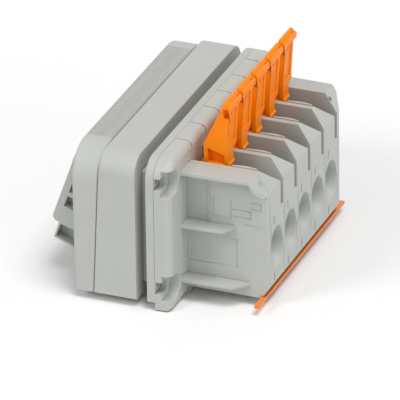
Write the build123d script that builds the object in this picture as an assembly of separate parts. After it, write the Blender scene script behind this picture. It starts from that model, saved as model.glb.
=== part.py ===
"""Feed-through terminal block for a panel: five poles with levers outside, spring entries inside.

X runs along the row of poles, -Y points to the outer side where the levers are, +Z points up.
Y = 0 is the face that bears on the outside of the panel, Z = 0 is the underside of the frames;
the flange on the outer side hangs a little lower.
"""

from build123d import *
import math
import os

os.makedirs("parts", exist_ok=True)

# Row of poles
poles = 5
pitch = 10.0
row_half = poles * pitch / 2

# Fits
slip = 0.3
running = 0.05
seat_play = 0.1
overcut = 1.0

# Heights
frame_height = 41.0
flange_rise = 5.0
wall_top = frame_height - flange_rise
shell_bottom = 0.4
floor_top = 3.0
entry_height = 13.0
entry_floor = 23.4

# Outer shells, from the panel face outwards
plate_thickness = 2.2
flange_thickness = 4.7
flange_drop = 2.0
shell_depth = 22.5
front_block = 5.4
module_wall = 1.6
chamfer_run = 3.4
chamfer_drop = 5.4
channel_lip = 1.8
front_bevel_run = 1.4
front_bevel_rise = 2.1
flange_round = 2.0
flange_seam = 2.6
seam_gap = 0.2

# End covers
cover_wall = 1.6
roof_reach = 4.6
roof_taper = 0.6
roof_overrun = 1.0
rib_thickness = 0.9
roof_thickness = 1.0
mid_rib_height = 19.6
low_rib_height = 3.6
mid_rib_length = 11.3
low_rib_length = 13.9
mid_rib_taper = 2.2
low_rib_taper = 3.9
ear_reach = 11.6
ear_corner = 5.5
foot_corner = 0.4
pocket_radius = 3.65
pocket_depth = 2.8
screw_radius = 1.7
screw_inset = 2.45
screw_low = 4.5
screw_high = 6.2
pilot_radius = 0.8
pilot_depth = 1.2
snap_radius = 0.7
snap_depth = 1.1
snap_place = 0.35
label_depth = 0.3
label_length = 13.4
label_height = 8.3
label_inset = 0.6
label_low = 8.2
step_length = 5.9
step_depth = 0.3

# Wire entries on the outer side
funnel_width = 8.6
funnel_height = 11.8
funnel_depth = 3.6
wire_radius = 3.6
slit_width = 0.5
slit_depth = 1.0
slit_length = 2.6
slit_offset = 1.7
slit_gap = 1.0
slit_margin = 0.5

# Guide blade beside each lever
blade_gap = 0.5
blade_thickness = 1.0
blade_heel = 0.5
blade_tip = 0.4
blade_point = 2.6
blade_belly = 1.2
blade_inset = 4.2
blade_reach = 6.0
blade_root = 1.4

# Levers
lever_play = 0.3
lever_back = 2.6
lever_drop = 2.9
hub_radius = 1.6
pin_radius = 1.2
pin_reach = 0.7
lever_rise = 19.9
lever_lean = 6.3
lever_back_reach = -0.3
lever_back_rise = 7.3
lever_top_depth = 1.6
lever_top_drop = 1.4
lever_front = 7.2
front_lean = 0.6
lean_rise = 5.6
cheek_thickness = 1.2
front_plate = 1.6
panel_depth = 0.4
panel_rise = 4.6
hollow_rise = 6.0
toe_high = 0.3
toe_low = 1.0
toe_reach = 0.4
toe_drop = 1.5
toe_run = 1.2
heel_depth = 4.5
heel_run = 4.6
heel_rise = 2.1
heel_back = 1.4
leg_width = 4.0
leg_height = 2.4
arch_height = 3.4
arch_depth = 4.6
handle_height = 2.8
handle_near = 0.5
handle_far = 2.2
groove_width = 0.5
groove_depth = 0.6
groove_place = 0.8
hole_length = 1.6
hole_height = 2.9
hole_cover = 0.3
hole_setback = 0.25
window_back = 1.05
window_front = 1.25
window_low = 0.9
window_height = 3.1
window_slope = 1.5
window_depth = 1.6

# Orange strip under the front edge
strip_thickness = 0.8
strip_depth = 1.4
strip_setback = 0.5
strip_low = 0.1
strip_overhang = 5.4

# Copper bars and springs
bar_width = 6.0
bar_thickness = 2.0
bar_offset = 2.4
bar_level = 7.0
bar_front_gap = 0.5
bar_end_gap = 0.6
bar_bend = 1.2
spring_width = 6.0
spring_thickness = 0.8
spring_offset = 2.4
spring_top = 21.7
spring_loop = 2.5
spring_loop_centre = 4.3
spring_free_leg = 7.4
spring_free_drop = 0.9

# Frame through the panel, clamping frame and wedge
panel_gap = 3.0
core_half = 33.0
core_bottom = 3.0
core_margin = 5.5
core_top = frame_height - core_margin
core_depth = 22.5
cell_bottom = 5.0
cell_top = 27.0
cell_end_wall = 1.0
wedge_top_thickness = 8.0
wedge_foot_thickness = 5.6
clamp_top_thickness = 9.8
clamp_foot_thickness = 12.0
side_groove = 3.0
wedge_corner = 9.0
wedge_foot_round = 0.9

# Inner connector row, leaning back from the vertical
inner_wall = 1.8
inner_bottom = 4.5
inner_top = 34.2
inner_top_depth = 2.1
inner_top_drop = 1.0
inner_lean = 7.0
nose_height = 13.6
nose_round = 1.4
nose_setback = 2.0
nose_drop = 1.0
lip_reach = 8.6
lip_rise = 3.5
back_wall = 3.0
inner_cover_wall = 1.6
inner_rim = 2.0
inner_skin = 0.5
inner_web = 0.8
pocket_spans = ((0.30, 0.54), (0.60, 0.76))
foot_skin = 0.5
inner_radius = 3.8
inner_funnel_radius = 4.4
inner_funnel_depth = 1.5
inner_entry = 0.58
tool_slot_width = 3.2
tool_slot_height = 4.6
tool_slot_place = 0.2
inner_spring_loop = 1.8
inner_spring_reach = 8.0
inner_spring_leg = 6.0
inner_spring_rise = 0.6

# Places that several pieces share
y_seam = -plate_thickness
y_flange = y_seam - flange_thickness
y_front = y_flange - shell_depth
y_block = y_front + front_block
chamfer_back = y_front + chamfer_run
chamfer_low = wall_top - chamfer_drop
cover_x = row_half + cover_wall
roof_x = cover_x + roof_reach
flange_half = cover_x + ear_reach
pivot_y = y_flange - lever_back
pivot_z = wall_top - lever_drop
strip_front = y_front + strip_setback
strip_back = strip_front + strip_depth
strip_top = strip_low + strip_thickness
y_clamp = panel_gap
y_core = core_depth
y_wedge_back = panel_gap + clamp_top_thickness + wedge_top_thickness
blade_near = module_wall + blade_gap
blade_far = blade_near + blade_thickness
pocket_x = flange_half - screw_inset
pocket_heights = (screw_low, frame_height - screw_high)
blade_front = y_front + blade_inset
blade_back = y_block + blade_reach
lever_face = pivot_y - lever_front
lever_brow = lever_face - front_lean
lever_tip = pivot_y - lever_lean - lever_top_depth
lever_top = pivot_z + lever_rise
handle_low = lever_top - handle_height
lever_near = blade_far + lever_play
lever_far = pitch - lever_play


def block(x0, x1, y0, y1, z0, z1):
    """A box between two corners."""
    centre = ((x0 + x1) / 2, (y0 + y1) / 2, (z0 + z1) / 2)
    return Pos(*centre) * Box(abs(x1 - x0), abs(y1 - y0), abs(z1 - z0))


def profile(points, x0, x1):
    """A side outline of (y, z) points, extruded from x0 to x1."""
    face = make_face(Polyline(*points, close=True))
    return extrude(Plane.YZ.offset(x0) * face, amount=x1 - x0)


def plan(points, z0, z1):
    """A plan outline of (x, y) points, extruded from z0 to z1."""
    face = make_face(Polyline(*points, close=True))
    return extrude(Plane.XY.offset(z0) * face, amount=z1 - z0)


def rod_x(radius, x0, x1, y, z):
    """A round rod along X."""
    return Pos((x0 + x1) / 2, y, z) * Rot(0, 90, 0) * Cylinder(radius, abs(x1 - x0))


def rod_y(radius, y0, y1, x, z):
    """A round rod along Y."""
    return Pos(x, (y0 + y1) / 2, z) * Rot(90, 0, 0) * Cylinder(radius, abs(y1 - y0))


def ribbon(points, thickness, x0, x1):
    """A bent sheet: a centre line of (y, z) points, given its thickness and extruded from x0 to x1."""
    left, right = [], []
    for i, (y, z) in enumerate(points):
        before = points[max(i - 1, 0)]
        after = points[min(i + 1, len(points) - 1)]
        into = math.atan2(z - before[1], y - before[0]) if i else None
        out = math.atan2(after[1] - z, after[0] - y) if i < len(points) - 1 else None
        into = out if into is None else into
        out = into if out is None else out
        turn = math.remainder(out - into, math.tau)
        middle = into + turn / 2
        reach = thickness / 2 / math.cos(turn / 2)
        side = (-math.sin(middle) * reach, math.cos(middle) * reach)
        left.append((y + side[0], z + side[1]))
        right.append((y - side[0], z - side[1]))
    return profile(left + right[::-1], x0, x1)


def arc_points(centre, radius, start, end, steps=8):
    """Points of an arc from the start to the end angle, in degrees."""
    angles = [math.radians(start + (end - start) * i / steps) for i in range(steps + 1)]
    return [(centre[0] + radius * math.cos(a), centre[1] + radius * math.sin(a)) for a in angles]


def upright_outline(half, height, corner, y0, y1, foot=0.0):
    """A plate in the panel's plane with two rounded top corners and small rounds at its feet."""
    plate = block(-half, half, y0, y1, foot, height)
    tall = plate.edges().filter_by(Axis.Y)
    plate = fillet(tall.group_by(Axis.Z)[-1], corner)
    feet = plate.edges().filter_by(Axis.Y).group_by(Axis.Z)[0]
    return fillet(feet, foot_corner)


def shell_outline():
    """Side outline shared by the modules and the end covers' walls."""
    return [
        (y_seam, -flange_drop),
        (y_seam, wall_top),
        (chamfer_back, wall_top),
        (y_front, chamfer_low),
        (y_front, strip_top + front_bevel_rise),
        (y_front + front_bevel_run, strip_top),
        (strip_back + seat_play, strip_top),
        (strip_back + seat_play, shell_bottom),
        (y_flange, shell_bottom),
        (y_flange, -flange_drop),
    ]


def flange_top(x0, x1):
    """The part of the flange above the walls, with its front edge rounded."""
    top = block(x0, x1, y_flange, y_seam, wall_top, frame_height)
    front = top.edges().filter_by(Axis.X).group_by(Axis.Z)[-1].sort_by(Axis.Y)[0]
    return fillet(front, flange_round)


def funnel(x):
    """The oval mouth of a wire entry, running down to the round bore."""
    mouth = Plane.XZ.offset(-y_front) * Pos(x, entry_height) * Ellipse(funnel_width / 2, funnel_height / 2)
    throat_y = y_front + funnel_depth
    throat = Plane.XZ.offset(-throat_y) * Pos(x, entry_height) * Circle(wire_radius)
    return loft([mouth, throat]) + rod_y(wire_radius, throat_y - seat_play, y_block + overcut, x, entry_height)


def outer_housing(index):
    """One pole's shell: a side wall, the front block with its entry, and a share of the flange."""
    x0 = -row_half + pitch * index
    x1 = x0 + pitch
    inner = x0 + module_wall
    shell = profile(shell_outline(), x0, x1)
    shell += flange_top(x0 + flange_seam + seam_gap / 2, x1 + flange_seam - seam_gap / 2)
    shell -= block(inner, x1, y_block, y_flange, floor_top, wall_top)
    channel = [
        (inner, y_block),
        (inner, chamfer_back),
        (x1 - channel_lip, y_front),
        (x1, y_front),
        (x1, y_block),
    ]
    shell -= plan(channel, entry_floor, wall_top)
    belly = blade_front + blade_point
    blade = [
        (x0 + blade_near, blade_back),
        (x0 + blade_near + blade_heel, blade_back),
        (x0 + blade_far, belly + blade_belly),
        (x0 + blade_far, belly),
        (x0 + blade_near + blade_tip, blade_front),
        (x0 + blade_near, blade_front),
    ]
    shell += plan(blade, entry_floor - blade_root, wall_top)
    shell -= funnel(x0 + pitch / 2)
    slit_x = x0 + pitch / 2 - slit_offset
    for z0 in (entry_height - funnel_height / 2 - slit_length, entry_height + funnel_height / 2):
        low = z0 + (slit_gap if z0 > entry_height else -slit_gap)
        shell -= block(
            slit_x - slit_width / 2,
            slit_x + slit_width / 2,
            y_front,
            y_front + slit_depth,
            max(low, strip_top + front_bevel_rise + slit_margin),
            low + slit_length,
        )
    bar_x = x0 + bar_offset
    shell -= block(
        bar_x - seat_play,
        bar_x + bar_width + seat_play,
        y_flange,
        y_seam,
        bar_level,
        bar_level + bar_thickness + seat_play,
    )
    shell -= rod_x(pin_radius + running, inner - pin_reach - running, inner, pivot_y, pivot_z)
    if index:
        shell -= rod_x(pin_radius + running, x0, x0 + pin_reach - lever_play + running, pivot_y, pivot_z)
    return shell


def rib(side, height, length, taper):
    """A rib across an end cover's recess: full reach by the flange, running back at its front end."""
    points = [
        (cover_x, y_flange),
        (roof_x, y_flange),
        (roof_x - roof_taper, y_flange - length),
        (cover_x, y_flange - length - taper),
    ]
    return plan([(side * x, y) for x, y in points], height, height + rib_thickness)


def roof(side):
    """The end cover's roof: it follows the wall's top and chamfer, and draws in along the chamfer."""
    drop = roof_thickness * chamfer_drop / math.hypot(chamfer_run, chamfer_drop)
    outer = [
        (y_flange, wall_top),
        (chamfer_back, wall_top),
        (y_front, chamfer_low),
        (y_front + drop, chamfer_low - roof_thickness / 2),
        (chamfer_back + drop / 2, wall_top - roof_thickness),
        (y_flange, wall_top - roof_thickness),
    ]
    body = profile(outer, cover_x, roof_x) if side > 0 else profile(outer, -roof_x, -cover_x)
    keep = [
        (cover_x - cover_wall, y_flange),
        (roof_x, y_flange),
        (roof_x - roof_taper, chamfer_back - roof_overrun),
        (cover_x, y_front),
        (cover_x - cover_wall, y_front),
    ]
    return body & plan([(side * x, y) for x, y in keep], chamfer_low - chamfer_drop, wall_top)


def ear(side):
    """The end of the flange, with its two screw pockets that open out of the end face."""
    whole = upright_outline(flange_half, frame_height, ear_corner, y_flange, y_seam, -flange_drop)
    near, far = sorted((side * cover_x, side * (flange_half + overcut)))
    piece = whole & block(near, far, y_flange, y_seam, -flange_drop, frame_height)
    face = piece.faces().sort_by(Axis.Y)[0]
    rim = [e for e in face.edges() if abs(e.center().X) > cover_x + slip and e.center().Z > 0]
    piece = fillet(rim, flange_round)
    x = side * pocket_x
    out = sorted((x, side * flange_half))
    for z in pocket_heights:
        for radius, depth in ((pocket_radius, pocket_depth), (screw_radius, flange_thickness)):
            piece -= rod_y(radius, y_flange, y_flange + depth, x, z)
            piece -= block(*out, y_flange, y_flange + depth, z - radius, z + radius)
    return piece


def end_cover(side):
    """One end of the outer side: a wall, the flange's ear, the roof and two ribs."""
    near, far = sorted((side * row_half, side * cover_x))
    cover = profile(shell_outline(), near, far)
    if side < 0:
        cover += flange_top(-cover_x, -row_half + flange_seam - seam_gap / 2)
    cover += ear(side)
    if side > 0:
        share = row_half + flange_seam + seam_gap / 2
        cover -= block(row_half, share, y_flange, y_seam, wall_top, frame_height)
    cover += roof(side)
    cover += rib(side, mid_rib_height, mid_rib_length, mid_rib_taper)
    cover += rib(side, low_rib_height, low_rib_length, low_rib_taper)
    outside = side * cover_x
    sunk = sorted((outside, outside - side * label_depth))
    label_back = y_flange - label_inset
    cover -= block(*sunk, label_back - label_length, label_back, label_low, label_low + label_height)
    stepped = sorted((outside, outside - side * step_depth))
    rib_top = mid_rib_height + rib_thickness
    cover -= block(*stepped, y_flange - step_length, y_flange, rib_top, wall_top - roof_thickness)
    snap_y = chamfer_back - chamfer_run * snap_place
    snap_z = wall_top - chamfer_drop * snap_place
    chamfer = Plane(origin=(side * (cover_x - cover_wall / 2), snap_y, snap_z), x_dir=(1, 0, 0),
                    z_dir=(0, -chamfer_drop, chamfer_run))
    if side > 0:
        cover -= chamfer * Cylinder(snap_radius, 2 * snap_depth)
        hole_end = row_half + pin_reach - lever_play + running
        cover -= rod_x(pin_radius + running, row_half, hole_end, pivot_y, pivot_z)
    return cover


def lever_outline():
    """Side outline of a raised lever, from its heel inside the housing to the top of its handle."""
    back = pivot_y + lever_back_reach
    return [
        (back, pivot_z),
        (back, pivot_z + lever_back_rise),
        (pivot_y - lever_lean, lever_top),
        (lever_tip, lever_top - lever_top_drop),
        (lever_brow, handle_low),
        (lever_face, wall_top + lean_rise),
        (lever_face, wall_top - toe_high),
        (lever_face - toe_reach, wall_top - toe_low),
        (lever_face + toe_run, pivot_z - toe_drop),
        (pivot_y - heel_run, pivot_z - heel_depth),
        (pivot_y - heel_back, pivot_z - heel_rise),
    ]


def lever_handle(near, far):
    """The bar at the top of a lever, wider than its body, with a groove along its top."""
    lean = (lever_lean + lever_back_reach) * handle_height / (lever_rise - lever_back_rise)
    outline = [
        (pivot_y - lever_lean + lean, handle_low),
        (pivot_y - lever_lean, lever_top),
        (lever_tip, lever_top - lever_top_drop),
        (lever_brow, handle_low),
    ]
    bar = profile(outline, near - handle_near, far + handle_far)
    groove = pivot_y - lever_lean - groove_place
    return bar - block(
        near - handle_near,
        far + handle_far,
        groove - groove_width,
        groove,
        lever_top - groove_depth - lever_top_drop / 2,
        lever_top,
    )


def lever_arch(leg, far):
    """The opening under the far part of a lever's front, beside its leg."""
    outline = [
        (leg, pivot_z - heel_depth - overcut),
        (leg, wall_top + leg_height),
        (far + overcut, wall_top + arch_height),
        (far + overcut, pivot_z - heel_depth - overcut),
    ]
    face = make_face(Polyline(*outline, close=True))
    return extrude(Plane.XZ.offset(-lever_face + overcut) * face, amount=-arch_depth - overcut)


def lever(index):
    """One lever: pins, two cheeks around a hollow back, a front plate with one leg, and the handle."""
    x0 = -row_half + pitch * index
    near, far = x0 + lever_near, x0 + lever_far
    piece = profile(lever_outline(), near, far) + rod_x(hub_radius, near, far, pivot_y, pivot_z)
    left, right = near + cheek_thickness, far - cheek_thickness
    panel = [
        (lever_face - overcut, wall_top + panel_rise),
        (lever_face + panel_depth, wall_top + panel_rise),
        (lever_face + panel_depth, wall_top + lean_rise),
        (lever_brow + panel_depth, handle_low),
        (lever_brow - overcut, handle_low),
    ]
    piece -= profile(panel, left, right)
    hollow = lever_face + front_plate
    piece -= block(left, right, hollow, pivot_y + hub_radius, pivot_z + hollow_rise, handle_low)
    piece -= lever_arch(near + leg_width, far)
    window = [
        (pivot_y + lever_back_reach - window_back, wall_top - window_low),
        (pivot_y + lever_back_reach - window_back, wall_top + window_height),
        (lever_face + window_front, wall_top + window_height - window_slope),
        (lever_face + window_front, wall_top - window_low),
    ]
    piece -= profile(window, near, near + window_depth)
    piece += lever_handle(near, far)
    hole_top = lever_top - lever_top_drop - hole_cover
    hole_y = lever_brow + hole_setback
    hole = (hole_y, hole_y + hole_length, hole_top - hole_height, hole_top)
    piece -= block(near - handle_near, left + window_depth, *hole)
    wall_face = x0 + module_wall
    piece += rod_x(pin_radius, wall_face - pin_reach, near, pivot_y, pivot_z)
    piece += rod_x(pin_radius, far, x0 + pitch + pin_reach - lever_play, pivot_y, pivot_z)
    return piece


def retaining_strip():
    """The thin orange strip that ties the shells together under their front edge."""
    half = cover_x + strip_overhang
    return block(-half, half, strip_front, strip_back, strip_low, strip_top)


def inner_point(share, inwards=0.0):
    """A point at a share of the inner row's leaning face, moved inwards from it."""
    top_y = y_core + inner_top_depth
    top_z = inner_top - inner_top_drop
    y = top_y + inner_lean * share
    z = top_z - (top_z - nose_height) * share
    slope = math.atan2(inner_lean, top_z - nose_height)
    return y - inwards * math.cos(slope), z - inwards * math.sin(slope)


def inner_slope():
    """The lean of the inner row's face from the vertical, in degrees."""
    return math.degrees(math.atan2(inner_lean, inner_top - inner_top_drop - nose_height))


def current_bar(index):
    """One copper bar: level on the outer side, stepping up to the inner wire's line."""
    x0 = -row_half + pitch * index + bar_offset
    level = bar_level + bar_thickness / 2
    under = inner_radius + bar_thickness / 2
    slope = math.radians(inner_slope())
    entry_y, entry_z = inner_point(inner_entry)
    ends = []
    for inwards in (back_wall + bar_end_gap, back_wall + inner_spring_reach):
        y = entry_y - inwards * math.cos(slope) + under * math.sin(slope)
        z = entry_z - inwards * math.sin(slope) - under * math.cos(slope)
        ends.append((y, z))
    bend_y = ends[1][0] - (ends[1][1] - level) * bar_bend
    points = [(y_block + bar_front_gap, level), (bend_y, level), ends[1], ends[0]]
    return ribbon(points, bar_thickness, x0, x0 + bar_width)


def clamp_spring(index):
    """One outer spring in its open state: a fixed leg, a loop, and the free leg above the wire."""
    x0 = -row_half + pitch * index + spring_offset
    level = spring_top - spring_thickness / 2
    centre = (y_flange - spring_loop_centre, level - spring_loop)
    loop = arc_points(centre, spring_loop, 90, -90)
    free = (centre[0] - spring_free_leg, centre[1] - spring_loop - spring_free_drop)
    points = [(y_block, level)] + loop + [free]
    return ribbon(points, spring_thickness, x0, x0 + spring_width)


def inner_spring(index):
    """One inner spring, in the frame's cell above the inner wire."""
    x0 = -row_half + pitch * index + spring_offset
    level = cell_top - spring_thickness / 2
    centre = (y_core - inner_spring_reach, level - inner_spring_loop)
    loop = arc_points(centre, inner_spring_loop, 90, 270)
    free = (centre[0] + inner_spring_leg, centre[1] - inner_spring_loop + inner_spring_rise)
    points = [(y_core, level)] + loop + [free]
    return ribbon(points, spring_thickness, x0, x0 + spring_width)


def base_frame():
    """The frame that carries both sides: a plate outside the panel and a core through its cut-out."""
    frame = upright_outline(flange_half, frame_height, ear_corner, y_seam, 0)
    frame += block(-core_half, core_half, 0, y_core, core_bottom, core_top)
    groove_front = y_clamp + min(clamp_top_thickness, clamp_foot_thickness) - slip
    for side in (-1, 1):
        out = sorted((side * (core_half - side_groove), side * core_half))
        frame -= block(*out, groove_front, y_wedge_back + slip, core_bottom, core_top)
        x = side * pocket_x
        for z in pocket_heights:
            frame -= rod_y(pilot_radius, y_seam, y_seam + pilot_depth, x, z)
    for index in range(poles):
        x0 = -row_half + pitch * index
        frame -= block(x0 + inner_wall, x0 + pitch - cell_end_wall, y_seam, y_core, cell_bottom, cell_top)
    return frame


def wedge_side(y_top, y_foot, back_top, back_foot):
    """Side outline of a frame whose faces may slope from foot to top."""
    return [(y_foot, 0), (back_foot, 0), (back_top, frame_height), (y_top, frame_height)]


def clamping_frame():
    """The frame that bears on the panel's inside; its rear face slopes to take the wedge."""
    thickest = y_clamp + max(clamp_top_thickness, clamp_foot_thickness)
    frame = upright_outline(flange_half, frame_height, ear_corner, y_clamp, thickest)
    outline = wedge_side(y_clamp, y_clamp, y_clamp + clamp_top_thickness, y_clamp + clamp_foot_thickness)
    frame &= profile(outline, -flange_half, flange_half)
    half = core_half + slip
    frame -= block(-half, half, y_clamp, thickest, core_bottom - slip, core_top + slip)
    return frame


def wedge_fork():
    """The U-shaped wedge that slides down behind the clamping frame, in the core's side grooves."""
    front_top = y_clamp + clamp_top_thickness
    front_foot = y_clamp + clamp_foot_thickness
    fork = upright_outline(flange_half, frame_height, wedge_corner, y_clamp, y_wedge_back)
    fork &= profile(wedge_side(front_top, front_foot, y_wedge_back, front_foot + wedge_foot_thickness),
                    -flange_half, flange_half)
    half = core_half - side_groove + slip
    fork -= block(-half, half, y_clamp, y_wedge_back, 0, core_top + slip)
    feet = fork.faces().sort_by(Axis.Z)[:2]
    edges = [e for f in feet for e in f.edges().filter_by(Axis.X)]
    return fillet(edges, wedge_foot_round)


def inner_outline():
    """Side outline of the inner row: a leaning face, a rounded nose and a lip below it."""
    top = inner_point(0.0)
    nose = inner_point(1.0)
    return [
        (y_core, inner_bottom),
        (y_core, inner_top),
        (y_core + inner_top_depth - inner_top_drop, inner_top),
        top,
        nose,
        (nose[0] - nose_setback, nose[1] - nose_drop),
        (y_core + lip_reach, inner_bottom + lip_rise),
    ]


def inner_block(x0, x1):
    """A slice of the inner row with its nose rounded."""
    body = profile(inner_outline(), x0, x1)
    nose = body.edges().filter_by(Axis.X).sort_by_distance(((x0 + x1) / 2, *inner_point(1.0)))[0]
    return fillet(nose, nose_round)


def inner_pockets(x0, x1):
    """The two pockets and the hollow foot in the ends of the inner row, from x0 to x1."""
    rise = math.tan(math.radians(inner_slope()))
    pockets = []
    for high, low in pocket_spans:
        upper = inner_point(high, inner_rim)
        lower = inner_point(low, inner_rim)
        points = [lower, (y_core, lower[1] - (lower[0] - y_core) * rise)]
        if upper[0] > y_core + slip:
            points += [(y_core, upper[1] - (upper[0] - y_core) * rise), upper]
        else:
            points += [(y_core, upper[1])]
        pockets.append(profile(points, x0, x1))
    nose = inner_point(1.0)
    foot_y, foot_z = y_core + lip_reach, inner_bottom + lip_rise
    under = nose[1] - nose_drop - foot_skin
    web = y_core + inner_web
    lean = lip_rise / lip_reach
    hollow = [
        (web, inner_bottom + foot_skin + inner_web * lean),
        (foot_y - foot_skin, foot_z + foot_skin - foot_skin * lean),
        (nose[0] - nose_setback - foot_skin, under),
        (web, under - lip_rise / 2),
    ]
    return pockets + [profile(hollow, x0, x1)]


def inner_housing(index):
    """One inner pole: a shell with a round wire entry and a slot for the tool that opens the spring."""
    x0 = -row_half + pitch * index
    x1 = x0 + pitch
    middle = x0 + pitch / 2
    body = inner_block(x0, x1)
    low = inner_point(1.0, back_wall)
    share = (inner_point(0.0, back_wall)[1] - cell_top) / (inner_point(0.0, back_wall)[1] - low[1])
    high = inner_point(share, back_wall)
    cavity = [(y_core, cell_top), (max(high[0], y_core + slip), cell_top), low, (y_core, low[1])]
    body -= profile(cavity, x0 + inner_wall, x1 - cell_end_wall)
    tilt = inner_slope()
    entry_y, entry_z = inner_point(inner_entry)
    face = Plane(origin=(middle, entry_y, entry_z), x_dir=(1, 0, 0),
                 z_dir=(0, math.cos(math.radians(tilt)), math.sin(math.radians(tilt))))
    body -= face * Pos(0, 0, -back_wall / 2) * Cylinder(inner_radius, back_wall * 2)
    cone = Cone(inner_radius, inner_funnel_radius, inner_funnel_depth)
    body -= face * Pos(0, 0, -inner_funnel_depth / 2) * cone
    slot_y, slot_z = inner_point(tool_slot_place)
    slot = Plane(origin=(middle, slot_y, slot_z), x_dir=(1, 0, 0), z_dir=face.z_dir)
    body -= slot * Pos(0, 0, -back_wall / 2) * Box(tool_slot_width, tool_slot_height, back_wall)
    if index == 0:
        for pocket in inner_pockets(x0, x0 + inner_wall - inner_skin):
            body -= pocket
    if index == poles - 1:
        for pocket in inner_pockets(x1 - cell_end_wall + inner_skin, x1):
            body -= pocket
    return body


def inner_end_cover(side):
    """One end of the inner row: a rim and two cross ribs around open pockets."""
    near, far = sorted((side * row_half, side * (row_half + inner_cover_wall)))
    cover = inner_block(near, far)
    for pocket in inner_pockets(near, far):
        cover -= pocket
    return cover


def write(piece, node):
    """Writes one piece to its own file."""
    export_step(piece, f"parts/{node}.step")


write(base_frame(), "base_frame")
write(clamping_frame(), "clamping_frame")
write(wedge_fork(), "wedge_fork")
write(retaining_strip(), "retaining_strip")
for side, name in ((-1, "left"), (1, "right")):
    write(end_cover(side), f"end_cover_{name}")
    write(inner_end_cover(side), f"inner_end_cover_{name}")
for index in range(poles):
    number = index + 1
    write(outer_housing(index), f"outer_housing_{number}")
    write(lever(index), f"lever_{number}")
    write(clamp_spring(index), f"clamp_spring_{number}")
    write(current_bar(index), f"current_bar_{number}")
    write(inner_housing(index), f"inner_housing_{number}")
    write(inner_spring(index), f"inner_spring_{number}")
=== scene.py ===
"""Dresses the lever-operated panel feed-through terminal block and sets it in a pale studio."""

import logging
import math
from dataclasses import dataclass, field, replace
from enum import Enum

import bmesh
import bpy
from mathutils import Matrix, Vector
from mathutils.bvhtree import BVHTree


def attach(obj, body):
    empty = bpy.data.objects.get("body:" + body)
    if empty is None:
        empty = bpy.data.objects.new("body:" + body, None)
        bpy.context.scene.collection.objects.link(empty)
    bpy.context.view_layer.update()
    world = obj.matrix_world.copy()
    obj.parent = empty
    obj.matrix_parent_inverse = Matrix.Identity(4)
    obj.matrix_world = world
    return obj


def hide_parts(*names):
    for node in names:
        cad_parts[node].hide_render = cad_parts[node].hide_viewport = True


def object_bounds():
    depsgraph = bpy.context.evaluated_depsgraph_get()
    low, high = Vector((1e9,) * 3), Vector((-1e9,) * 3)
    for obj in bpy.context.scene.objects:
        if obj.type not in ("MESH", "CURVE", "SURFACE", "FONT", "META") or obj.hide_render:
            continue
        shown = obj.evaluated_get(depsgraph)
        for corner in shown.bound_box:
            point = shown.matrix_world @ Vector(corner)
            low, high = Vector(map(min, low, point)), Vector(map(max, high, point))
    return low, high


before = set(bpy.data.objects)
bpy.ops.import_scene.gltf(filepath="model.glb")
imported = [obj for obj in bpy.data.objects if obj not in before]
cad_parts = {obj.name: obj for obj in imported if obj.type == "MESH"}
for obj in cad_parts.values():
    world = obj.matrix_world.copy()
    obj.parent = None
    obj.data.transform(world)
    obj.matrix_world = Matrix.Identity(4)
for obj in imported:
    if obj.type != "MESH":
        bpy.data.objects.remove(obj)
CAD_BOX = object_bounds()

LOG = logging.getLogger("terminal_block")
MM = 0.001
POLES = range(1, 6)
BLOCK = "block"
FINE_EDGE = 0.14 * MM
LEVER_EDGE = 0.2 * MM
CLAMP_EDGE = 0.3 * MM
SMOOTH_ANGLE = math.radians(50)
WHITE = (1.0, 1.0, 1.0, 1.0)

# How a screen bends the tones
SCREEN_KNEE = 0.04045
SCREEN_SLOPE = 12.92
SCREEN_OFFSET = 0.055
SCREEN_POWER = 2.4

Color = tuple[float, float, float]


class Side(Enum):
    """The two ends of the row of poles."""

    LEFT = "left"
    RIGHT = "right"


class Slot(Enum):
    """The record's material slots."""

    SHELL = "shell_plastic"
    FRAME = "frame_plastic"
    LEVER = "lever_plastic"
    STRIP = "strip_plastic"
    COPPER = "tinned_copper"
    SPRING = "spring_steel"


def linear(color: Color) -> tuple[float, float, float, float]:
    """Turns a colour as a screen shows it into the linear colour that shaders use.

    Args:
        color: Red, green and blue from 0 to 255.

    Returns:
        The linear colour with an alpha of 1.
    """
    parts = []
    for value in color:
        share = value / 255
        if share <= SCREEN_KNEE:
            parts.append(share / SCREEN_SLOPE)
        else:
            parts.append(((share + SCREEN_OFFSET) / (1 + SCREEN_OFFSET)) ** SCREEN_POWER)
    return parts[0], parts[1], parts[2], 1.0


def start_material(name: str) -> tuple[bpy.types.Material, bpy.types.Node, bpy.types.NodeSocket]:
    """Starts a material.

    Args:
        name: The material's name.

    Returns:
        The material, its surface shader and the place on the object.
    """
    material = bpy.data.materials.new(name)
    material.use_nodes = True
    tree = material.node_tree
    place = tree.nodes.new("ShaderNodeTexCoord")
    return material, tree.nodes["Principled BSDF"], place.outputs["Object"]


def add_math(
    tree: bpy.types.NodeTree,
    operation: str,
    first: bpy.types.NodeSocket,
    second: bpy.types.NodeSocket | float = 0.0,
) -> bpy.types.NodeSocket:
    """Works out one value from one or two others.

    Args:
        tree: The nodes to add to.
        operation: What is worked out.
        first: The first value.
        second: The second value, as a socket or a number.

    Returns:
        The socket with the result.
    """
    node = tree.nodes.new("ShaderNodeMath")
    node.operation = operation
    tree.links.new(first, node.inputs[0])
    if isinstance(second, float):
        node.inputs[1].default_value = second
    else:
        tree.links.new(second, node.inputs[1])
    return node.outputs["Value"]


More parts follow.
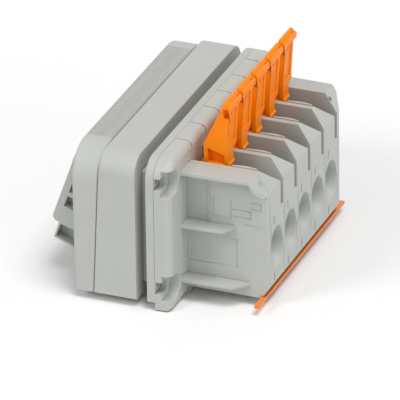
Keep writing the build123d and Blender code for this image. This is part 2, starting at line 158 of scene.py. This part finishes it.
def add_noise(
    tree: bpy.types.NodeTree,
    place: bpy.types.NodeSocket,
    size: float,
    detail: float,
    roughness: float = 0.5,
) -> bpy.types.NodeSocket:
    """Adds a cloudy noise.

    Args:
        tree: The material's nodes.
        place: The place on the object.
        size: The size of the clouds.
        detail: How many finer layers they have.
        roughness: How strong the finer layers are.

    Returns:
        A socket with the noise from 0 to 1.
    """
    noise = tree.nodes.new("ShaderNodeTexNoise")
    noise.inputs["Scale"].default_value = 1 / size
    noise.inputs["Detail"].default_value = detail
    noise.inputs["Roughness"].default_value = roughness
    tree.links.new(place, noise.inputs["Vector"])
    return noise.outputs["Fac"]


def add_bump(
    tree: bpy.types.NodeTree,
    height: bpy.types.NodeSocket,
    strength: float,
    depth: float,
    normal: bpy.types.NodeSocket | None = None,
) -> bpy.types.NodeSocket:
    """Turns a height into fine relief and gives it to the surface shader.

    Args:
        tree: The material's nodes.
        height: The height from 0 to 1.
        strength: The share of the relief that is shown.
        depth: The depth of the relief.
        normal: The direction of the surface under the relief, if another node sets it.

    Returns:
        A socket with the direction of the surface.
    """
    bump = tree.nodes.new("ShaderNodeBump")
    bump.inputs["Strength"].default_value = strength
    bump.inputs["Distance"].default_value = depth
    tree.links.new(height, bump.inputs["Height"])
    if normal:
        tree.links.new(normal, bump.inputs["Normal"])
    tree.links.new(bump.outputs["Normal"], tree.nodes["Principled BSDF"].inputs["Normal"])
    return bump.outputs["Normal"]


def vary_gloss(
    tree: bpy.types.NodeTree, noise: bpy.types.NodeSocket, roughness: float, spread: float
) -> None:
    """Varies the roughness of the surface with a noise.

    Args:
        tree: The material's nodes.
        noise: The noise from 0 to 1.
        roughness: The middle roughness.
        spread: How far it varies to each side.
    """
    gloss = tree.nodes.new("ShaderNodeMapRange")
    gloss.inputs["To Min"].default_value = roughness - spread
    gloss.inputs["To Max"].default_value = roughness + spread
    tree.links.new(noise, gloss.inputs["Value"])
    tree.links.new(gloss.outputs["Result"], tree.nodes["Principled BSDF"].inputs["Roughness"])


def mix_tones(
    tree: bpy.types.NodeTree,
    share: bpy.types.NodeSocket,
    tone: Color | bpy.types.NodeSocket,
    other: Color,
) -> bpy.types.NodeSocket:
    """Mixes two tones.

    Args:
        tree: The material's nodes.
        share: The share of the second tone.
        tone: The first tone, as a colour or a socket.
        other: The second tone.

    Returns:
        A socket with the mixed tone.
    """
    mix = tree.nodes.new("ShaderNodeMix")
    mix.data_type = "RGBA"
    mix.inputs["B"].default_value = linear(other)
    tree.links.new(share, mix.inputs["Factor"])
    if isinstance(tone, tuple):
        mix.inputs["A"].default_value = linear(tone)
    else:
        tree.links.new(tone, mix.inputs["A"])
    return mix.outputs["Result"]


@dataclass(frozen=True)
class Grip:
    """A fine grip texture of wavering ridges on the top face, between two ends, with painted shade in a
    darker tone down in the valleys.

    The wave length is what a wave has at a scale of 1.
    """

    above: float
    half_length: float
    pitch: float
    depth: float
    # the darker tone painted into the valleys as shade
    tone: Color
    angles: tuple[float, float] = (9.0, -9.0)
    wave_length: float = 0.314
    waver: float = 1.6
    waver_detail: float = 2.0
    waver_share: float = 0.6

    def mask(self, tree: bpy.types.NodeTree, place: bpy.types.NodeSocket) -> bpy.types.NodeSocket:
        """Builds the mask of the textured face.

        Args:
            tree: The material's nodes.
            place: The place on the object.

        Returns:
            A socket that is 1 on the texture and 0 elsewhere.
        """
        parts = tree.nodes.new("ShaderNodeSeparateXYZ")
        tree.links.new(place, parts.inputs["Vector"])
        high = add_math(tree, "GREATER_THAN", parts.outputs["Z"], self.above)
        reach = add_math(tree, "ABSOLUTE", parts.outputs["X"])
        within = add_math(tree, "LESS_THAN", reach, self.half_length)
        return add_math(tree, "MULTIPLY", high, within)

    def ridges(self, tree: bpy.types.NodeTree, place: bpy.types.NodeSocket) -> bpy.types.NodeSocket:
        """Builds the height of the ridges, from two waves that cross at a small angle.

        Args:
            tree: The material's nodes.
            place: The place on the object.

        Returns:
            A socket with the height from 0 to 1.
        """
        heights = []
        for angle in self.angles:
            turn = tree.nodes.new("ShaderNodeMapping")
            turn.inputs["Rotation"].default_value = (0.0, 0.0, math.radians(angle))
            tree.links.new(place, turn.inputs["Vector"])
            wave = tree.nodes.new("ShaderNodeTexWave")
            wave.inputs["Scale"].default_value = self.wave_length / self.pitch
            wave.inputs["Distortion"].default_value = self.waver
            wave.inputs["Detail"].default_value = self.waver_detail
            wave.inputs["Detail Scale"].default_value = self.waver_share / self.pitch * MM
            tree.links.new(turn.outputs["Vector"], wave.inputs["Vector"])
            heights.append(wave.outputs["Fac"])
        return add_math(tree, "MINIMUM", heights[0], heights[1])


@dataclass(frozen=True)
class Moulding:
    """A moulded plastic: two close tones, a fine eroded grain, softened edges and painted shade in seams
    and corners.
    """

    name: str
    tone: Color
    shade: Color
    roughness: float
    grain_size: float
    grain_depth: float
    grain_detail: float = 3.0
    grain_strength: float = 0.5
    gloss_spread: float = 0.06
    specular: float = 0.4
    edge_radius: float = 0.12 * MM
    edge_samples: int = 6
    mottle_size: float = 9 * MM
    mottle_detail: float = 4.0
    mottle_roughness: float = 0.6
    # painted shade in seams and corners: how far it looks, how dark it gets, its ramp and its samples
    painted_shade_reach: float = 0.5 * MM
    painted_shade_darkest: float = 0.25
    painted_shade_ramp: tuple[float, float] = (0.2, 0.85)
    painted_shade_samples: int = 8
    grip: Grip | None = None

    def make(self) -> bpy.types.Material:
        """Builds the material's nodes.

        Returns:
            The finished material.
        """
        material, shader, place = start_material(self.name)
        tree = material.node_tree
        shader.inputs["Specular IOR Level"].default_value = self.specular
        mottle = add_noise(tree, place, self.mottle_size, self.mottle_detail, self.mottle_roughness)
        surface = mix_tones(tree, mottle, self.tone, self.shade)
        grain = add_noise(tree, place, self.grain_size, self.grain_detail)
        vary_gloss(tree, grain, self.roughness, self.gloss_spread)
        soft = tree.nodes.new("ShaderNodeBevel")
        soft.samples = self.edge_samples
        soft.inputs["Radius"].default_value = self.edge_radius
        relief = add_bump(tree, grain, self.grain_strength, self.grain_depth, soft.outputs["Normal"])
        if self.grip:
            mask = self.grip.mask(tree, place)
            height = add_math(tree, "MULTIPLY", mask, self.grip.ridges(tree, place))
            # painted shade: the valleys between the ridges take the grip's darker tone
            painted_valley_shade = add_math(tree, "SUBTRACT", mask, height)
            surface = mix_tones(tree, painted_valley_shade, surface, self.grip.tone)
            add_bump(tree, height, 1.0, self.grip.depth, relief)
        # painted shade: darker colour in seams and corners
        self.paint_seam_shade(tree, surface)
        return material

    def paint_seam_shade(self, tree: bpy.types.NodeTree, surface: bpy.types.NodeSocket) -> None:
        """Paints shade into the colour in narrow seams and corners, where little light reaches.

        Args:
            tree: The material's nodes.
            surface: The tone of the surface.
        """
        # painted shade: the colour is scaled darker where other surfaces lie close, as in seams, corners
        # and between parts
        near = tree.nodes.new("ShaderNodeAmbientOcclusion")
        near.samples = self.painted_shade_samples
        near.inputs["Distance"].default_value = self.painted_shade_reach
        depth = tree.nodes.new("ShaderNodeMapRange")
        depth.inputs["From Min"].default_value, depth.inputs["From Max"].default_value = self.painted_shade_ramp
        depth.inputs["To Min"].default_value = self.painted_shade_darkest
        depth.inputs["To Max"].default_value = 1.0
        tree.links.new(near.outputs["AO"], depth.inputs["Value"])
        shaded = tree.nodes.new("ShaderNodeVectorMath")
        shaded.operation = "SCALE"
        tree.links.new(surface, shaded.inputs["Vector"])
        tree.links.new(depth.outputs["Result"], shaded.inputs["Scale"])
        tree.links.new(shaded.outputs["Vector"], tree.nodes["Principled BSDF"].inputs["Base Color"])


@dataclass(frozen=True)
class Plating:
    """A plated or bright metal with fine drawing lines along one direction."""

    name: str
    tone: Color
    roughness: float
    line_size: float
    line_depth: float
    line_detail: float = 5.0
    line_strength: float = 0.4
    gloss_spread: float = 0.08
    stretch: tuple[float, float, float] = (1.0, 0.08, 1.0)

    def make(self) -> bpy.types.Material:
        """Builds the material's nodes.

        Returns:
            The finished material.
        """
        material, shader, place = start_material(self.name)
        tree = material.node_tree
        shader.inputs["Metallic"].default_value = 1.0
        shader.inputs["Base Color"].default_value = linear(self.tone)
        run = tree.nodes.new("ShaderNodeMapping")
        run.inputs["Scale"].default_value = self.stretch
        tree.links.new(place, run.inputs["Vector"])
        lines = add_noise(tree, run.outputs["Vector"], self.line_size, self.line_detail)
        vary_gloss(tree, lines, self.roughness, self.gloss_spread)
        add_bump(tree, lines, self.line_strength, self.line_depth)
        return material


@dataclass
class Finishes:
    """One material for each slot of the record."""

    made: dict[Slot, bpy.types.Material] = field(default_factory=dict)
    gripped: bpy.types.Material | None = None

    def prepare(self) -> None:
        """Makes every finish once."""
        recipes = {
            Slot.SHELL: Moulding(
                "shell_grey",
                tone=(184, 187, 181),
                shade=(177, 180, 174),
                roughness=0.48,
                grain_size=0.16 * MM,
                grain_depth=0.012 * MM,
            ),
            Slot.FRAME: Moulding(
                "frame_grey",
                tone=(184, 186, 181),
                shade=(176, 178, 173),
                roughness=0.55,
                grain_size=0.22 * MM,
                grain_depth=0.02 * MM,
            ),
            Slot.LEVER: Moulding(
                "lever_orange",
                tone=(255, 141, 2),
                shade=(253, 131, 1),
                roughness=0.36,
                grain_size=0.3 * MM,
                grain_depth=0.006 * MM,
                specular=0.2,
            ),
            Slot.STRIP: Moulding(
                "strip_orange",
                tone=(240, 134, 52),
                shade=(230, 120, 40),
                roughness=0.4,
                grain_size=0.3 * MM,
                grain_depth=0.006 * MM,
            ),
            Slot.COPPER: Plating(
                "tinned_copper",
                tone=(205, 200, 190),
                roughness=0.3,
                line_size=0.25 * MM,
                line_depth=0.004 * MM,
            ),
            Slot.SPRING: Plating(
                "spring_steel",
                tone=(178, 180, 184),
                roughness=0.26,
                line_size=0.15 * MM,
                line_depth=0.003 * MM,
            ),
        }
        for slot, recipe in recipes.items():
            self.made[slot] = recipe.make()
        # the grip's tone is painted shade for the valleys between its ridges
        grip = Grip(
            above=40.6 * MM, half_length=28.0 * MM, pitch=1.15 * MM, depth=0.16 * MM, tone=(164, 165, 160)
        )
        self.gripped = replace(recipes[Slot.FRAME], name="fork_grey", grip=grip).make()

    def dress(self, piece: bpy.types.Object, slot: Slot) -> None:
        """Gives a piece its finish in all of its material slots.

        Args:
            piece: The mesh object.
            slot: The record's slot that the finish stands for.
        """
        if not piece.material_slots:
            piece.data.materials.append(self.made[slot])
        for place in piece.material_slots:
            place.material = self.made[slot]

    def settle(self, piece: bpy.types.Object, slot: Slot, body: str) -> None:
        """Gives a new piece its finish and the body that carries it.

        Args:
            piece: The mesh object.
            slot: The record's slot.
            body: The body's name.
        """
        self.dress(piece, slot)
        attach(piece, body)


def make_piece(body: bmesh.types.BMesh, name: str) -> bpy.types.Object:
    """Turns a mesh under construction into an object of the scene.

    Args:
        body: The mesh, which is freed.
        name: The name of the object and its mesh.

    Returns:
        The new object.
    """
    mesh = bpy.data.meshes.new(name)
    body.to_mesh(mesh)
    body.free()
    piece = bpy.data.objects.new(name, mesh)
    bpy.context.scene.collection.objects.link(piece)
    return piece


def smooth_shading(mesh: bpy.types.Mesh) -> None:
    """Blends the shading over all edges but the sharp ones."""
    mesh.shade_smooth()
    mesh.set_sharp_from_angle(angle=SMOOTH_ANGLE)


def bridge(
    body: bmesh.types.BMesh, ring: list[bmesh.types.BMVert], after: list[bmesh.types.BMVert]
) -> None:
    """Closes the band between two rings of as many points.

    Args:
        body: The mesh to add to.
        ring: The first ring.
        after: The second ring.
    """
    for step in range(len(ring)):
        turn = (step + 1) % len(ring)
        body.faces.new((ring[step], ring[turn], after[turn], after[step]))


@dataclass(frozen=True)
class EdgeBreak:
    """How the edges of a moulded piece are broken.

    A broken edge's faces have the second material place until the shading is set.
    """

    radius: float
    segments: int = 2
    weld: float = 0.001 * MM
    sharp_degrees: float = 28.0
    flat_degrees: float = 1.0
    room_share: float = 0.42
    least_share: float = 0.25
    stray_share: float = 0.6
    open_blend: float = 0.2

    def room(self, edge: bmesh.types.BMEdge) -> float:
        """Finds how wide an edge can be broken before it meets a neighbour.

        Args:
            edge: The edge to break.

        Returns:
            The share of the full radius, up to 1.
        """
        neighbours = [e.calc_length() for v in edge.verts for e in v.link_edges if e is not edge]
        nearest = min(neighbours + [edge.calc_length()])
        return min(1.0, self.room_share * nearest / self.radius)

    def copy(self, node: str, name: str) -> bpy.types.Object:
        """Makes a piece in the place of a CAD node, with its sharp edges rounded.

        Args:
            node: The CAD node's name.
            name: The new piece's name.

        Returns:
            The new piece, which stands for the node.
        """
        body = bmesh.new()
        body.from_mesh(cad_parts[node].data)
        bmesh.ops.remove_doubles(body, verts=body.verts, dist=self.weld)
        bmesh.ops.dissolve_limit(
            body, angle_limit=math.radians(self.flat_degrees), verts=body.verts, edges=body.edges
        )
        bmesh.ops.triangulate(body, faces=body.faces)
        surface = BVHTree.FromBMesh(body)
        self.mark(body)
        piece = make_piece(body, name)
        self.bevel(piece)
        self.draw_in(piece.data, surface)
        self.shade(piece.data)
        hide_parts(node)
        return piece

    def mark(self, body: bmesh.types.BMesh) -> None:
        """Gives each sharp edge the share of the radius that it has room for.

        Args:
            body: The mesh to mark.
        """
        weight = body.edges.layers.float.new("bevel_weight_edge")
        for edge in body.edges:
            if len(edge.link_faces) == 2 and edge.calc_face_angle() > math.radians(self.sharp_degrees):
                share = self.room(edge)
                edge[weight] = share if share > self.least_share else 0.0

    def bevel(self, piece: bpy.types.Object) -> None:
        """Rounds the marked edges.

        Args:
            piece: The piece, which gets a new mesh with two material places.
        """
        piece.data.materials.append(None)
        piece.data.materials.append(None)
        bevel = piece.modifiers.new("edge_break", "BEVEL")
        bevel.limit_method = "WEIGHT"
        bevel.width = self.radius
        bevel.segments = self.segments
        bevel.use_clamp_overlap = False
        bevel.loop_slide = True
        bevel.material = 1
        baked = bpy.data.meshes.new_from_object(piece.evaluated_get(bpy.context.evaluated_depsgraph_get()))
        piece.modifiers.clear()
        piece.data = baked

    def draw_in(self, mesh: bpy.types.Mesh, surface: BVHTree) -> None:
        """Draws points that strayed at crowded corners back to the solid's surface.

        Args:
            mesh: The mesh with broken edges.
            surface: The surface before its edges were broken.
        """
        for vertex in mesh.vertices:
            spot, _, _, stray = surface.find_nearest(vertex.co)
            if spot is not None and stray > self.stray_share * self.radius:
                vertex.co = spot

    def shade(self, mesh: bpy.types.Mesh) -> None:
        """Keeps the faces of the piece flat or evenly curved, and blends only across the broken edges.

        Args:
            mesh: The mesh, whose broken edges have the second material.
        """
        faces = mesh.polygons
        limit = math.cos(math.radians(self.sharp_degrees))
        around: list[list[int]] = [[] for _ in mesh.vertices]
        for face in faces:
            for vertex in face.vertices:
                around[vertex].append(face.index)
        normals: list[Vector] = [Vector()] * len(mesh.loops)
        for face in faces:
            for loop in face.loop_indices:
                near = around[mesh.loops[loop].vertex_index]
                whole = [n for n in near if faces[n].material_index == 0]
                own = face.normal
                if face.material_index and whole:
                    own = faces[max(whole, key=lambda n: faces[n].normal.dot(face.normal))].normal
                blend = whole if whole else near
                least = limit if whole else self.open_blend
                total = Vector()
                for n in blend:
                    if faces[n].normal.dot(own) > least:
                        total += faces[n].normal * faces[n].area
                normals[loop] = total.normalized() if total.length > 0 else own.copy()
        for face in faces:
            face.use_smooth = True
            face.material_index = 0
        mesh.materials.clear()
        mesh.normals_split_custom_set(normals)


@dataclass
class DressedNodes:
    """CAD nodes that are shown with broken edges, on the body that carries them."""

    body: str
    slot: Slot
    nodes: tuple[str, ...]
    edges: EdgeBreak

    def build(self, finishes: Finishes) -> None:
        """Makes and dresses the pieces.

        Args:
            finishes: The finishes to dress them with.
        """
        for node in self.nodes:
            piece = self.edges.copy(node, f"{node}_moulded")
            finishes.settle(piece, self.slot, self.body)
            LOG.info("%s: edges broken at %.2f mm", piece.name, self.edges.radius / MM)


@dataclass
class WedgeFork(DressedNodes):
    """The wedge, with the grip texture on its top face."""

    def build(self, finishes: Finishes) -> None:
        """Makes and dresses the fork.

        Args:
            finishes: The finishes to dress it with.
        """
        super().build(finishes)
        for node in self.nodes:
            for place in bpy.data.objects[f"{node}_moulded"].material_slots:
                place.material = finishes.gripped


@dataclass
class CarriedNodes:
    """CAD nodes that keep their mesh and only take a finish."""

    slot: Slot
    nodes: tuple[str, ...]

    def build(self, finishes: Finishes) -> None:
        """Dresses the nodes.

        Args:
            finishes: The finishes to dress them with.
        """
        for node in self.nodes:
            finishes.dress(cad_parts[node], self.slot)
            LOG.info("%s: finished as %s", node, self.slot.value)


def bar_between(body: bmesh.types.BMesh, start: Vector, end: Vector, width: float) -> None:
    """Adds a bar of square section between two points.

    Args:
        body: The mesh to add to.
        start: One end of the bar's centre line.
        end: The other end.
        width: The side of the section.
    """
    run = end - start
    turn = run.to_track_quat("Z", "X").to_matrix().to_4x4()
    size = Matrix.Diagonal((width, width, run.length + width, 1.0))
    place = Matrix.Translation((start + end) / 2) @ turn @ size
    bmesh.ops.create_cube(body, size=1.0, matrix=place)


@dataclass
class RaisedLines:
    """Fine raised lines on the near end cover: an outline, two brackets, a stroke and a dashed line.

    Each point has its place along Y and its height, in mm.
    """

    wall_x: float = -26.6 * MM
    width: float = 0.26 * MM
    lines: tuple[tuple[tuple[float, float], ...], ...] = (
        ((-14.4, 27.9), (-14.4, 22.5), (-19.2, 22.5), (-19.2, 27.9)),
        ((-19.9, 25.2), (-24.7, 25.2), (-24.7, 23.2), (-19.9, 23.2)),
        ((-24.7, 27.8), (-27.6, 27.8), (-27.6, 26.0), (-25.0, 26.0)),
        ((-22.9, 21.3), (-28.6, 21.3)),
    )
    dash_y: float = -13.5
    dash_span: tuple[float, float] = (20.9, 32.4)
    dash_length: float = 0.8
    dash_step: float = 1.35
    round_share: float = 0.25
    segments: int = 2

    def add_line(
        self, body: bmesh.types.BMesh, start: tuple[float, float], end: tuple[float, float]
    ) -> None:
        """Adds a line that is half sunk into the wall.

        Args:
            body: The mesh to add to.
            start: The point where it starts.
            end: The point where it ends.
        """
        near, far = (Vector((self.wall_x, y * MM, z * MM)) for y, z in (start, end))
        bar_between(body, near, far, self.width)

    def build(self, finishes: Finishes) -> None:
        """Makes the lines.

        Args:
            finishes: The finishes to dress them with.
        """
        body = bmesh.new()
        for line in self.lines:
            for start, end in zip(line, line[1:]):
                self.add_line(body, start, end)
        low, high = self.dash_span
        for step in range(int((high - low) / self.dash_step)):
            z = low + step * self.dash_step
            self.add_line(body, (self.dash_y, z), (self.dash_y, z + self.dash_length))
        bmesh.ops.bevel(
            body,
            geom=list(body.edges),
            offset=self.round_share * self.width,
            segments=self.segments,
            profile=0.5,
            affect="EDGES",
        )
        piece = make_piece(body, "raised_lines")
        smooth_shading(piece.data)
        finishes.settle(piece, Slot.SHELL, BLOCK)
        LOG.info("raised_lines: %d lines", len(self.lines))


@dataclass
class CornerRing:
    """A small raised ring on the chamfer of the near end cover."""

    centre: tuple[float, float, float] = (-26.3 * MM, -27.4 * MM, 33.78 * MM)
    normal: tuple[float, float, float] = (0.0, -0.846, 0.533)
    radius: float = 0.75 * MM
    width: float = 0.24 * MM
    section: tuple[tuple[float, float], ...] = ((-1.0, -1.0), (1.0, -1.0), (0.7, 1.0), (-0.7, 1.0))
    steps: int = 20

    def build(self, finishes: Finishes) -> None:
        """Makes the ring.

        Args:
            finishes: The finishes to dress it with.
        """
        turn = Vector(self.normal).to_track_quat("Z", "X").to_matrix()
        lift = turn @ Vector((0.0, 0.0, 1.0))
        body = bmesh.new()
        rounds = []
        for step in range(self.steps):
            angle = math.tau * step / self.steps
            spoke = turn @ Vector((math.cos(angle), math.sin(angle), 0.0))
            middle = Vector(self.centre) + spoke * self.radius
            ring = [middle + (spoke * out + lift * up) * self.width / 2 for out, up in self.section]
            rounds.append([body.verts.new(spot) for spot in ring])
        for ring, after in zip(rounds, rounds[1:] + rounds[:1]):
            bridge(body, ring, after)
        bmesh.ops.recalc_face_normals(body, faces=body.faces)
        piece = make_piece(body, "corner_ring")
        finishes.settle(piece, Slot.SHELL, BLOCK)
        LOG.info("corner_ring: radius %.2f mm", self.radius / MM)


@dataclass
class HandleRidges:
    """The two rounded ridges along the top of a lever's handle, with a groove between them.

    All sizes are in mm. A ridge has its place along Y, its height and its radius. At each end it
    narrows: so many radii from its tip, it has that share of its radius.
    """

    pole: int
    row_start: float = -25.0
    pitch: float = 10.0
    span: tuple[float, float] = (2.95, 11.65)
    ridges: tuple[tuple[float, float, float], ...] = ((-17.0, 51.78, 0.52), (-15.86, 52.68, 0.42))
    steps: int = 14
    ends: tuple[tuple[float, float], ...] = ((0.0, 0.45), (0.2, 0.8), (0.7, 1.0))

    def add_ridge(self, body: bmesh.types.BMesh, y: float, z: float, radius: float) -> None:
        """Adds a ridge with rounded ends.

        Args:
            body: The mesh to add to.
            y: The place of its centre line along Y, in mm.
            z: The height of its centre line, in mm.
            radius: Its radius, in mm.
        """
        near, far = (self.row_start + self.pitch * (self.pole - 1) + place for place in self.span)
        stations = [(near + along * radius, share) for along, share in self.ends]
        stations += [(far - along * radius, share) for along, share in reversed(self.ends)]
        rounds = []
        for x, share in stations:
            ring = []
            for step in range(self.steps):
                angle = math.tau * step / self.steps
                reach = radius * share
                spot = Vector((x, y + reach * math.cos(angle), z + reach * math.sin(angle)))
                ring.append(body.verts.new(spot * MM))
            rounds.append(ring)
        for ring, after in zip(rounds, rounds[1:]):
            bridge(body, ring, after)
        body.faces.new(rounds[0][::-1])
        body.faces.new(rounds[-1])

    def build(self, finishes: Finishes) -> None:
        """Makes the ridges.

        Args:
            finishes: The finishes to dress them with.
        """
        name = f"handle_ridges_{self.pole}"
        body = bmesh.new()
        for y, z, radius in self.ridges:
            self.add_ridge(body, y, z, radius)
        bmesh.ops.recalc_face_normals(body, faces=body.faces)
        piece = make_piece(body, name)
        smooth_shading(piece.data)
        finishes.settle(piece, Slot.LEVER, f"lever_body_{self.pole}")
        LOG.info("%s: %d ridges", name, len(self.ridges))


@dataclass(frozen=True)
class Sun:
    """A soft lamp far away."""

    name: str
    towards: tuple[float, float, float]
    strength: float
    spread_degrees: float

    def hang(self) -> None:
        """Adds the lamp to the scene."""
        data = bpy.data.lights.new(self.name, "SUN")
        data.energy = self.strength
        data.angle = math.radians(self.spread_degrees)
        lamp = bpy.data.objects.new(self.name, data)
        lamp.location = Vector(self.towards)
        lamp.rotation_euler = Vector(self.towards).to_track_quat("Z", "Y").to_euler()
        bpy.context.scene.collection.objects.link(lamp)


@dataclass
class Studio:
    """The floor, the lamps, the sky and the camera."""

    azimuth: float = 292.02
    elevation: float = 27.335
    roll: float = -0.829
    distance: float = 1.7
    focal_pixels: float = 6428.6
    frame_pixels: float = 400.0
    sensor: float = 36.0
    clip: tuple[float, float] = (0.05, 30.0)
    aim: tuple[float, float, float] = (0.0, -5 * MM, 21 * MM)
    aim_pixel: tuple[float, float] = (217.64, 171.1)
    floor_gap: float = 0.2 * MM
    floor_half: float = 6.0
    floor_tone: float = 0.875
    floor_roughness: float = 0.9
    floor_specular: float = 0.1
    sky_strength: float = 0.46
    background_strength: float = 1.0
    suns: tuple[Sun, ...] = (
        Sun("key_sun", (-0.18, -0.30, 0.94), 1.7, 28.0),
        Sun("edge_sun", (-0.60, 0.50, 0.61), 0.75, 20.0),
        Sun("front_sun", (-0.45, -0.86, 0.25), 0.45, 40.0),
    )

    def directions(self) -> tuple[Vector, Vector, Vector]:
        """Works out the camera's directions.

        Returns:
            The directions to the camera, to its right and up.
        """
        azimuth, elevation, roll = (math.radians(a) for a in (self.azimuth, self.elevation, self.roll))
        back = Vector(
            (
                math.sin(azimuth) * math.cos(elevation),
                -math.cos(azimuth) * math.cos(elevation),
                math.sin(elevation),
            )
        )
        level = Vector((math.cos(azimuth), math.sin(azimuth), 0.0))
        up = back.cross(level)
        right = math.cos(roll) * level + math.sin(roll) * up
        return back, right, -math.sin(roll) * level + math.cos(roll) * up

    def place_camera(self) -> None:
        """Puts the camera where the photograph was taken from."""
        back, right, up = self.directions()
        scale = self.focal_pixels / self.distance
        across = (self.frame_pixels / 2 - self.aim_pixel[0]) / scale
        down = (self.frame_pixels / 2 - self.aim_pixel[1]) / scale
        spot = Vector(self.aim) + back * self.distance + right * across - up * down
        data = bpy.data.cameras.new("camera")
        data.sensor_width = self.sensor
        data.lens = self.sensor * self.focal_pixels / self.frame_pixels
        data.clip_start, data.clip_end = self.clip
        camera = bpy.data.objects.new("camera", data)
        turn = Matrix((right, up, back)).transposed().to_4x4()
        camera.matrix_world = Matrix.Translation(spot) @ turn
        bpy.context.scene.collection.objects.link(camera)
        bpy.context.scene.camera = camera

    def lay_floor(self) -> None:
        """Lays the pale floor under the lowest point of the block."""
        low = CAD_BOX[0][2] - self.floor_gap
        half = self.floor_half
        mesh = bpy.data.meshes.new("floor")
        corners = [(-half, -half, low), (half, -half, low), (half, half, low), (-half, half, low)]
        mesh.from_pydata(corners, [], [(0, 1, 2, 3)])
        floor = bpy.data.objects.new("floor", mesh)
        bpy.context.scene.collection.objects.link(floor)
        material = bpy.data.materials.new("floor_white")
        material.use_nodes = True
        shader = material.node_tree.nodes["Principled BSDF"]
        shader.inputs["Base Color"].default_value = (self.floor_tone,) * 3 + (1.0,)
        shader.inputs["Roughness"].default_value = self.floor_roughness
        shader.inputs["Specular IOR Level"].default_value = self.floor_specular
        mesh.materials.append(material)

    def paint_sky(self) -> None:
        """Sets the sky's light, and the white background that the camera, gloss and glass see."""
        world = bpy.data.worlds.new("sky")
        world.use_nodes = True
        tree = world.node_tree
        tree.nodes.clear()
        grounds = []
        for strength in (self.sky_strength, self.background_strength):
            ground = tree.nodes.new("ShaderNodeBackground")
            ground.inputs["Color"].default_value = WHITE
            ground.inputs["Strength"].default_value = strength
            grounds.append(ground.outputs["Background"])
        ray = tree.nodes.new("ShaderNodeLightPath")
        seen = ray.outputs["Is Camera Ray"]
        for kind in ("Is Glossy Ray", "Is Transmission Ray"):
            seen = add_math(tree, "MAXIMUM", seen, ray.outputs[kind])
        mix = tree.nodes.new("ShaderNodeMixShader")
        tree.links.new(seen, mix.inputs["Fac"])
        tree.links.new(grounds[0], mix.inputs[1])
        tree.links.new(grounds[1], mix.inputs[2])
        out = tree.nodes.new("ShaderNodeOutputWorld")
        tree.links.new(mix.outputs["Shader"], out.inputs["Surface"])
        bpy.context.scene.world = world

    def build(self) -> None:
        """Sets up the whole studio."""
        self.place_camera()
        self.lay_floor()
        for sun in self.suns:
            sun.hang()
        self.paint_sky()
        bpy.context.scene.view_settings.view_transform = "Standard"
        LOG.info("studio: camera at azimuth %.1f, elevation %.1f", self.azimuth, self.elevation)


def main() -> None:
    """Builds the pieces in order, then the studio."""
    logging.basicConfig(level=logging.INFO, format="%(message)s")
    finishes = Finishes()
    finishes.prepare()
    fine = EdgeBreak(FINE_EDGE)
    shells = tuple(f"outer_housing_{n}" for n in POLES)
    shells += tuple(f"end_cover_{side.value}" for side in Side)
    shells += tuple(f"inner_housing_{n}" for n in POLES)
    shells += tuple(f"inner_end_cover_{side.value}" for side in Side)
    DressedNodes(BLOCK, Slot.SHELL, shells, fine).build(finishes)
    DressedNodes(BLOCK, Slot.FRAME, ("base_frame",), fine).build(finishes)
    DressedNodes("clamp", Slot.FRAME, ("clamping_frame",), EdgeBreak(CLAMP_EDGE)).build(finishes)
    WedgeFork("wedge", Slot.FRAME, ("wedge_fork",), fine).build(finishes)
    DressedNodes(BLOCK, Slot.STRIP, ("retaining_strip",), fine).build(finishes)
    lever_edges = EdgeBreak(LEVER_EDGE)
    for pole in POLES:
        DressedNodes(f"lever_body_{pole}", Slot.LEVER, (f"lever_{pole}",), lever_edges).build(finishes)
        HandleRidges(pole).build(finishes)
    RaisedLines().build(finishes)
    CornerRing().build(finishes)
    CarriedNodes(Slot.COPPER, tuple(f"current_bar_{n}" for n in POLES)).build(finishes)
    springs = tuple(f"{kind}_{n}" for n in POLES for kind in ("clamp_spring", "inner_spring"))
    CarriedNodes(Slot.SPRING, springs).build(finishes)
    Studio().build()


if __name__ == "__main__":
    main()
